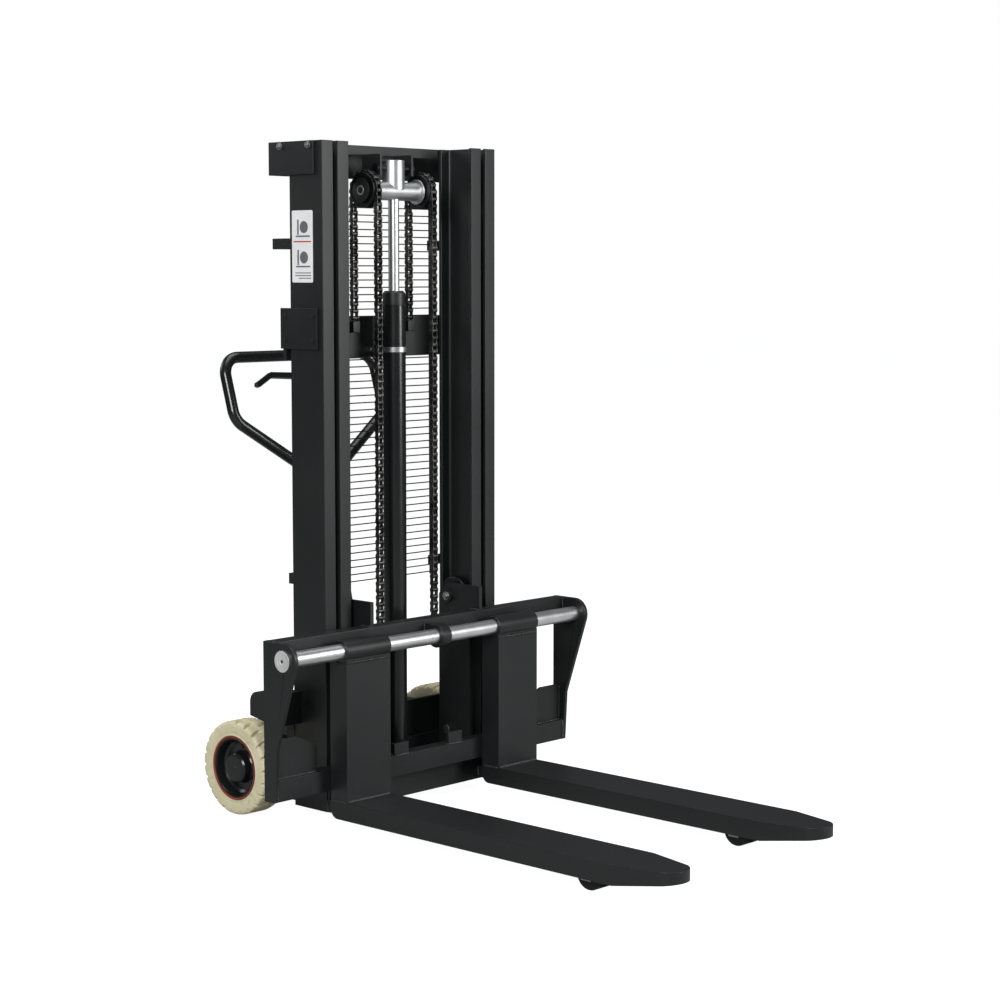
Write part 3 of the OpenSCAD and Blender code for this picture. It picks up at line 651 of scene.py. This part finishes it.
def make_chain_wheels():
    """Wheels with a groove for the chain, a hub and a closed dark face outside."""
    low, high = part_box("chain_wheels")
    y, z = (low.y + high.y) / 2, (low.z + high.z) / 2
    r = (high.z - low.z) / 2
    outer, bore = high.x, 0.0145
    build = Build()
    for sign in (-1, 1):
        origin = (sign * (outer - CHAIN_WHEEL_WIDTH), y, z)
        profile = [(0.0, bore), (0.0, 0.024), (0.002, 0.026), (0.002, r - 0.008), (0.0, r - 0.006),
                   (0.0, r - 0.001), (0.001, r), (0.003, r), (0.0045, r - 0.002), (0.0055, r - 0.0105),
                   (0.0225, r - 0.0105), (0.0235, r - 0.002), (0.025, r), (0.027, r), (0.028, r - 0.001),
                   (0.028, r - 0.006), (0.026, r - 0.008), (0.026, 0.026), (0.028, 0.024), (0.028, bore)]
        build.lathe(profile, origin, X * sign, 64, closed=True)
    piece("grooved_chain_wheels", "chain_wheels", "dark_steel", build, sharp=30,
          stands_for=("chain_wheels",))
    build = Build()
    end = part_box("crosshead")[1].x
    cap = [(0, 0.0135), (0, 0.031), (0.001, 0.033), (0.0026, 0.033), (0.0036, 0.031), (0.0046, 0.012),
           (0.005, 0.006), (0.005, 0.0004)]
    for sign in (-1, 1):
        build.lathe(cap, (sign * (end - 0.0048), y, z), X * sign, 48)
    piece("chain_wheel_caps", "inner_mast", "dark_steel", build, material="black_paint", sharp=30)


def make_shaft_discs():
    """Faced and plated discs on the ends of the fork shaft."""
    low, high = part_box("fork_shaft")
    y, z = (low.y + high.y) / 2, (low.z + high.z) / 2
    r = (high.z - low.z) / 2
    profile = [(-0.0005, r - 0.0012), (0.0006, r - 0.0012), (0.001, r - 0.002), (0.001, 0.0175),
               (0.0006, 0.017), (0.0006, 0.0158), (0.001, 0.0152), (0.001, 0.0075), (0.0004, 0.0068),
               (-0.0005, 0.0045)]
    build = Build()
    for sign in (-1, 1):
        build.lathe(profile, (sign * high.x, y, z), X * sign, 64)
    piece("shaft_end_discs", "carriage", "chrome_steel", build, material="plated_disc", sharp=30)


def make_crosshead():
    """Round bar between the chain wheels with the boss that the pin passes through."""
    low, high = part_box("crosshead")
    wheel_low, wheel_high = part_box("chain_wheels")
    y, z = (low.y + high.y) / 2, (wheel_low.z + wheel_high.z) / 2
    bar_r, axle_r, collar_r, gap = z - low.z, 0.014, 0.034, 0.0006
    end = wheel_high.x - CHAIN_WHEEL_WIDTH - gap
    build = Build()
    half = [(0.0, bar_r), (end - 0.005, bar_r), (end - 0.005, collar_r - 0.001), (end - 0.004, collar_r),
            (end - 0.001, collar_r), (end, collar_r - 0.001), (end, axle_r), (high.x - 0.001, axle_r),
            (high.x, axle_r - 0.001)]
    build.lathe([(-x, r) for x, r in reversed(half[1:])] + half[1:], (0, y, z), X, 72)
    boss_r = (high.y - low.y) / 2
    top = high.z - z
    boss = [(0.004, boss_r - 0.001), (top - 0.002, boss_r - 0.001), (top - 0.0006, boss_r - 0.0018),
            (top, boss_r - 0.0035), (top, 0.006), (top - 0.004, 0.005)]
    build.lathe(boss, (0, y, z), Z, 72)
    piece("crosshead_bar", "inner_mast", "chrome_steel", build, material="turned_steel", sharp=30,
          stands_for=("crosshead",))


# ---- rollers -----------------------------------------------------------------------------------------

def make_rollers():
    """Ball-bearing rollers: crowned outer race, seal groove and inner race."""
    width = 0.032
    for node in ("lower_mast_rollers", "upper_mast_rollers", "lower_carriage_rollers",
                 "upper_carriage_rollers"):
        low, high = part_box(node)
        y, z = (low.y + high.y) / 2, (low.z + high.z) / 2
        r = (high.z - low.z) / 2
        face = [(0.0, 0.0151), (0.0, 0.022), (0.0015, 0.0235), (0.0015, 0.037), (0.0, 0.0385),
                (0.0, r - 0.003), (0.003, r)]
        profile = face + [(width - h, q) for h, q in reversed(face)]
        build = Build()
        for sign in (-1, 1):
            build.lathe(profile, (sign * (high.x - width), y, z), X * sign, 64, closed=True)
        piece(f"{node}_races", BODY_OF[node], "dark_steel", build, sharp=30, stands_for=(node,))


# ---- wheels --------------------------------------------------------------------------------------------

LUGS = 22
LUG_STEPS = 14


def tread_depth(side, angle):
    """How far down the groove goes at an angle: deep between the lugs, with short steep walls."""
    phase = (angle / (2 * pi) * LUGS + (0.5 if side > 0 else 0.0)) % 1.0
    width = 0.17
    wall = 0.045
    d = min(phase, 1 - phase)
    return max(0.0, min(1.0, (width / 2 - d) / wall + 0.5)) if d < width / 2 + wall else 0.0


def make_wheels():
    """Tyre with notched tread, its red-brown bead ring, and the dished rim with hub cap and screws."""
    for name, sign in (("left", -1), ("right", 1)):
        low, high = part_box(f"{name}_tyre")
        rim_low, rim_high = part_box(f"{name}_rim")
        y, z = (low.y + high.y) / 2, (low.z + high.z) / 2
        r = (high.z - low.z) / 2
        width = high.x - low.x
        inner = (rim_high.z - rim_low.z) / 2
        inside = low.x if sign > 0 else high.x
        origin = Vector((inside, y, z))
        half = width / 2
        groove, shoulder, crown_start = 0.009, r - 0.0125, 0.1

        def treaded(radius, h, angle):
            side = 1 if h > half else -1
            across = abs(h - half) / half
            if radius < shoulder or across < crown_start:
                return radius
            skew = (across - crown_start) * 0.1 * side
            share = min(1.0, (across - crown_start) / 0.12)
            depth = groove * tread_depth(side, angle + skew)
            if radius < r - 0.006:
                depth *= max(0.0, (radius - shoulder) / 0.0065)
            return radius - depth * share

        wall = [(0.004, inner), (0.0012, inner + 0.002), (0.0008, inner + 0.0045), (0.002, inner + 0.006),
                (0.0022, inner + 0.008), (0.0012, inner + 0.011), (0.0004, inner + 0.018), (0.0, shoulder),
                (0.0003, r - 0.008), (0.0015, r - 0.0045), (0.004, r - 0.002), (0.008, r - 0.0006)]
        crown = [(0.014, r), (0.024, r), (0.033, r), (0.0385, r)]
        profile = wall + crown + [(width - h, q) for h, q in reversed(wall + crown)]
        build = Build()
        build.lathe(profile, origin, X * sign, LUGS * LUG_STEPS, closed=True, shape=treaded)
        piece(f"{name}_tyre_tread", f"{name}_wheel", "tyre", build, sharp=42,
              stands_for=(f"{name}_tyre",))

        face = width
        ring = Build()
        ring.lathe([(face - 0.0055, inner - 0.005), (face - 0.0025, inner - 0.005),
                    (face - 0.0008, inner - 0.003), (face - 0.0008, inner - 0.0004),
                    (face - 0.0055, inner - 0.0002)],
                   origin, X * sign, 96, closed=True)
        ring.lathe([(0.0008, inner - 0.0004), (0.0008, inner - 0.003), (0.0025, inner - 0.005),
                    (0.0055, inner - 0.005), (0.0055, inner - 0.0002)], origin, X * sign, 96, closed=True)
        piece(f"{name}_tyre_ring", f"{name}_wheel", "tyre", ring, material="tyre_ring", sharp=40)

        dish = Build()
        lip = inner - 0.0052
        bore = 0.0151
        profile = [(0.004, lip), (0.003, lip - 0.003), (0.006, lip - 0.006), (0.02, lip - 0.012),
                   (0.026, lip - 0.02), (0.026, 0.042), (0.02, 0.036), (0.006, 0.034), (0.005, bore),
                   (face - 0.018, bore), (face - 0.017, 0.006), (face - 0.004, 0.006), (face - 0.003, 0.03),
                   (face - 0.0045, 0.037), (face - 0.0085, 0.0405), (face - 0.03, 0.042),
                   (face - 0.034, 0.046), (face - 0.0335, lip - 0.018), (face - 0.028, lip - 0.011),
                   (face - 0.009, lip - 0.0065), (face - 0.004, lip - 0.004), (face - 0.0035, lip - 0.001),
                   (face - 0.005, lip)]
        dish.lathe(profile, origin, X * sign, 96, closed=True)
        piece(f"{name}_dished_rim", f"{name}_wheel", "gloss_black", dish, sharp=35,
              stands_for=(f"{name}_rim",))
        cap = Build()
        cap.lathe([(face - 0.0168, 0.0058), (face - 0.0038, 0.0058), (face - 0.0026, 0.0045),
                   (face - 0.0026, 0.003), (face - 0.004, 0.002)], origin, X * sign, 32)
        screws = 5
        for i in range(screws):
            a = 2 * pi * i / screws + 0.3
            centre = origin + Vector((sign * (face - 0.0338), 0.0565 * cos(a), 0.0565 * sin(a)))
            cap.hexagon(centre, X * sign, 0.01, 0.005)
        piece(f"{name}_rim_screws", f"{name}_wheel", "gloss_black", cap, bevel=0.0003)


# ---- pump and tiller --------------------------------------------------------------------------------------

def make_pump():
    """Spring coil, plunger with a domed cap, plugs and fittings on the pump's block."""
    low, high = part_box("pump_spring")
    centre = (low + high) / 2
    wire = 0.0019
    radius = (high.x - low.x) / 2 - wire - 0.0003
    height = high.z - low.z
    turns, per_turn, closed_end = 7, 20, 0.75
    path = []
    for i in range(turns * per_turn + 1):
        turn = i / per_turn
        rise = min(max((turn - closed_end) / (turns - 2 * closed_end), 0), 1)
        ends = min(turn, closed_end) + max(0, turn - turns + closed_end)
        lift = min(wire + rise * (height - 4 * wire) + ends * wire, height - wire)
        a = 2 * pi * turn
        path.append((centre.x + radius * cos(a), centre.y + radius * sin(a), low.z + lift))
    coil = Build().tube(path, wire, sides=10, up=Z)
    spring = piece("pump_coil", "root", "bright_steel", coil, sharp=60, stands_for=("pump_spring",))
    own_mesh(spring)

    low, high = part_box("pump_plunger")
    x, y = (low.x + high.x) / 2, (low.y + high.y) / 2
    top = high.z - low.z
    cap = Build()
    cap.lathe([(0, 0.0098), (0.0015, 0.011), (top - 0.0085, 0.011), (top - 0.0085, 0.0195),
               (top - 0.007, 0.021), (top - 0.003, 0.021), (top - 0.001, 0.019), (top, 0.014)],
              (x, y, low.z), Z, 48)
    piece("pump_plunger_rod", "pump_plunger", "bright_steel", cap, sharp=30, stands_for=("pump_plunger",))

    low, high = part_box("pump_block")
    screw = [(0, 0.0065), (0.006, 0.0065), (0.007, 0.0055), (0.007, 0.003), (0.004, 0.0029)]
    fittings = Build()
    for dx in (-0.05, 0.05):
        centre = Vector((dx, (low.y + high.y) / 2 + 0.02, high.z - 0.0155))
        fittings.hexagon(centre, Z, 0.019, 0.009)
        fittings.lathe([(0.008, 0.006), (0.0125, 0.006), (0.0135, 0.005)], centre, Z, 20)
    for dx in (-0.035, 0.035):
        fittings.hexagon(Vector((dx, high.y, low.z + 0.03)), Y, 0.016, 0.006)
    for dx in (-0.062, 0.062):
        for dy in (0.014, 0.126):
            fittings.lathe(screw, (dx, low.y + dy, high.z - 0.0152), Z, 24)
    piece("pump_fittings", "root", "bright_steel", fittings, bevel=0.0003)

    pipe_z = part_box("hydraulic_pipe")[1].z - 0.005
    nuts = Build()
    nuts.hexagon((0, low.y - 0.011, pipe_z), Y, 0.017, 0.011)
    nuts.hexagon((0, low.y - 0.0135, pipe_z), Y, 0.013, 0.004)
    piece("pipe_nuts", "root", "bright_steel", nuts, bevel=0.0003)


def make_handle():
    """Round tube bent into a loop, wide at the top, with both ends at the tiller's neck."""
    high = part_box("tiller_handle")[1]
    tube_r = 0.016
    neck = Vector((0, FRONT + 0.359, 0.897))
    top = Vector((0, high.y - tube_r, high.z - tube_r))
    up = top - neck
    loop_h = up.length
    up.normalize()
    half = high.x - tube_r
    bend, shoulder = 0.055, 0.214
    foot = (0.027, 0.006)
    low_c, high_c = (half - bend, shoulder), (half - bend, loop_h - bend)
    dx, dy = foot[0] - low_c[0], foot[1] - low_c[1]
    toe = atan2(dy, dx) + acos(bend / hypot(dx, dy))
    side = [foot] + arc(low_c, bend, toe * 180 / pi, 0, 14) + arc(high_c, bend, 0, 90, 16)
    flat = side + [(-u, v) for u, v in reversed(side)]
    path = [neck + X * u + up * v for u, v in flat]
    build = Build().tube(path, tube_r, sides=32, up=X.cross(up))
    piece("handle_loop", "tiller", "gloss_black", build, sharp=50, stands_for=("tiller_handle",))


def make_tiller_details():
    """Nuts on the ends of the tiller's pin."""
    low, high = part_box("tiller_pin")
    y, z = (low.y + high.y) / 2, (low.z + high.z) / 2
    build = Build()
    for sign in (-1, 1):
        build.hexagon((sign * (high.x - 0.0005), y, z), X * sign, 0.017, 0.004)
    piece("tiller_pin_nuts", "root", "bright_steel", build, bevel=0.0004)


# ---- welds -----------------------------------------------------------------------------------------------

def make_fork_welds():
    """Beads under the sleeve and along the foot of the shank."""
    shank_front = SHAFT_Y - 0.024
    y = shank_front - 0.001
    for name in ("left", "right"):
        low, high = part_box(f"{name}_fork")
        build = Build()
        x0, x1 = low.x + 0.003, high.x - 0.003
        weld_bead(build, (x0, y, SHAFT_Z - 0.0275), (x1, y, SHAFT_Z - 0.0275), 0.0032)
        weld_bead(build, (x0, y, FORK_TOP + 0.001), (x1, y, FORK_TOP + 0.001), 0.0042)
        for x in (low.x + 0.0005, high.x - 0.0005):
            weld_bead(build, (x, shank_front + 0.004, FORK_TOP), (x, shank_front + 0.058, FORK_TOP), 0.003)
        piece(f"{name}_fork_welds", f"{name}_fork", "black_paint", build, material="weld", sharp=70)


def make_carriage_welds():
    """Beads on the chain anchors, the ears and gussets, the two bars, the uprights and the shaft's lug."""
    bar_low, bar_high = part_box("lower_bar")
    top_low, top_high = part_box("top_bar")
    front, back, bar_top = bar_low.y, bar_high.y, LOWER_BAR_TOP
    ear, gusset_y, top = top_high.x, FRONT - 0.046, top_high.z
    build = Build()

    def bead(start, end, radius):
        weld_bead(build, (sign * start[0], *start[1:]), (sign * end[0], *end[1:]), radius)

    for sign in (-1, 1):
        bead((0.078, front, bar_top - 0.0005), (0.132, front, bar_top - 0.0005), 0.003)
        for x in (0.078, 0.132):
            bead((x, front + 0.0015, bar_top), (x, front + 0.013, bar_top), 0.0025)
        bead((0.407, gusset_y, bar_top), (ear - 0.003, gusset_y, bar_top), 0.003)
        bead((ear, gusset_y, bar_top + 0.004), (ear, gusset_y, 0.272), 0.003)
        bead((ear, front - 0.0005, bar_top - 0.056), (ear, front - 0.0005, bar_top - 0.002), 0.003)
        bead((ear, front, bar_top), (ear, back - 0.002, bar_top), 0.003)
        bead((ear - 0.0005, top_low.y, top_low.z + 0.003), (ear - 0.0005, top_low.y, top - 0.002), 0.0028)
        bead((ear, top_low.y + 0.002, top - 0.0007), (ear, top_high.y - 0.003, top - 0.0007), 0.0025)
        bead((UPRIGHT_X, front + 0.0035, top), (UPRIGHT_X, top_high.y, top), 0.003)
        bead((UPRIGHT_X - 0.012, front + 0.0035, top), (UPRIGHT_X - 0.012, top_high.y, top), 0.003)
        bead((UPRIGHT_X - 0.012, back, bar_low.z + 0.02), (UPRIGHT_X - 0.012, back, bar_top), 0.003)
    weld_bead(build, (-0.017, front, SHAFT_Z - 0.026), (0.017, front, SHAFT_Z - 0.026), 0.0028)
    for x in (-0.017, 0.017):
        weld_bead(build, (x, front, SHAFT_Z - 0.024), (x, front, SHAFT_Z + 0.03), 0.0028)
    piece("carriage_welds", "carriage", "black_paint", build, material="weld", sharp=70)


def make_frame_welds():
    """Beads on the base, the legs, the rear plate and the chassis."""
    base_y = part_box("base_frame")[0].y
    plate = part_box("rear_cross_plate")[1]
    leg_low, leg_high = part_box("right_support_leg")
    chassis_low, chassis_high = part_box("rear_chassis")
    side, deck = chassis_high.x, chassis_high.z
    build = Build()

    def bead(start, end, radius=0.003):
        weld_bead(build, (sign * start[0], *start[1:]), (sign * end[0], *end[1:]), radius)

    for sign in (-1, 1):
        for x in (leg_low.x, leg_high.x):
            bead((x, base_y, leg_low.z + 0.002), (x, base_y, leg_high.z))
        bead((leg_low.x, base_y, leg_high.z), (leg_high.x, base_y, leg_high.z), 0.0032)
        bead((POST_HIGH.x, FRONT, 0.04), (POST_HIGH.x, FRONT, 0.104))
        bead((side, plate.y, chassis_low.z), (side, plate.y, deck))
        bead((POST_HIGH.x, POST_HIGH.y, 0.055), (POST_HIGH.x, POST_HIGH.y, plate.z - 0.003))
    weld_bead(build, (-side, plate.y, deck), (-0.02, plate.y, deck), 0.0032)
    weld_bead(build, (0.02, plate.y, deck), (side, plate.y, deck), 0.0032)
    piece("frame_welds", "root", "black_paint", build, material="weld", sharp=70)


def make_small_fasteners():
    """Screws on the cylinder strap, roller axle ends and bolts, and rivets on the middle wrap plates."""
    low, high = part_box("cylinder_strap")
    screw = [(0, 0.0042), (0.0022, 0.0042), (0.003, 0.003)]
    build = Build()
    z = (low.z + high.z) / 2
    for sign in (-1, 1):
        for y in (high.y - 0.018, high.y - 0.05):
            build.lathe(screw, (sign * high.x, y, z), X * sign, 16)
    piece("strap_screws", "root", "bright_steel", build, sharp=40)
    build = Build()
    face = 0.195
    for node in ("lower_carriage_rollers", "upper_carriage_rollers"):
        low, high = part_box(node)
        y, z = (low.y + high.y) / 2, (low.z + high.z) / 2
        for sign in (-1, 1):
            centre = Vector((sign * face, y, z))
            build.lathe([(0, 0.0125), (0.0015, 0.0125), (0.002, 0.012)], centre, -X * sign, 28)
            if node.startswith("upper"):
                build.hexagon(centre - X * sign * 0.002, -X * sign, 0.016, 0.006)
    piece("roller_axle_bolts", "carriage", "bright_steel", build, bevel=0.0004)
    build = Build()
    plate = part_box("wrap_plates")[1].x
    rivet = [(0, 0.006), (0.0015, 0.006), (0.002, 0.005)]
    for sign in (-1, 1):
        for y, z in ((0.035, 1.303), (0.035, 1.368), (0.145, 1.303), (0.145, 1.368)):
            build.lathe(rivet, (sign * plate, FRONT + y, z), X * sign, 20)
    piece("wrap_plate_rivets", "root", "black_paint", build, sharp=40)


# ---- carried-over CAD nodes ---------------------------------------------------------------------

def dress_all():
    """Rounds the edges of the carried-over nodes, by the widths here in metres, and paints them."""
    edges = {
        "top_crossbeam": 0.002, "mid_crossbeam": 0.002, "base_frame": 0.0025, "rear_cross_plate": 0.002,
        "wrap_plates": 0.0015, "cylinder_barrel": 0.001, "cylinder_gland": 0.002, "cylinder_foot": 0.003,
        "cylinder_strap": 0.0006, "left_support_leg": 0.0025, "right_support_leg": 0.0025,
        "leg_axles": 0.0012,
        "rear_chassis": 0.002, "wheel_axle": 0.0015, "wheel_guards": 0.004, "pump_block": 0.003,
        "tiller_bracket": 0.0012, "tiller_pin": 0.0012, "hydraulic_pipe": 0.0, "inner_top_beam": 0.0015,
        "inner_tie_beam": 0.0015, "crosshead_plates": 0.0008, "crosshead_pin": 0.001, "lift_rod": 0.001,
        "shaft_ears": 0.0016, "fork_shaft": 0.0009, "top_bar": 0.003, "lower_bar": 0.0022,
        "carriage_uprights": 0.0014, "carriage_brackets": 0.0014, "chain_anchors": 0.0015,
        "left_fork_sleeve": 0.0016, "right_fork_sleeve": 0.0016, "left_fork": 0.0028,
        "right_fork": 0.0028, "leg_rollers_left": 0.002, "leg_rollers_right": 0.002,
        "tiller_shaft": 0.0012, "release_lever": 0.002,
    }
    finishes = {"crosshead_pin": "dark_steel"}
    for node in NODES:
        if node in edges:
            dress_cad(node, edges[node], finishes.get(node))


make_camera()
make_floor()
make_world()
make_lights()
MATERIALS = make_materials()
dress_all()
make_posts()
make_bolts()
make_guard()
make_label()
make_chains()
make_chain_wheels()
make_shaft_discs()
make_crosshead()
make_rollers()
make_wheels()
make_pump()
make_handle()
make_tiller_details()
make_fork_welds()
make_carriage_welds()
make_frame_welds()
make_small_fasteners()
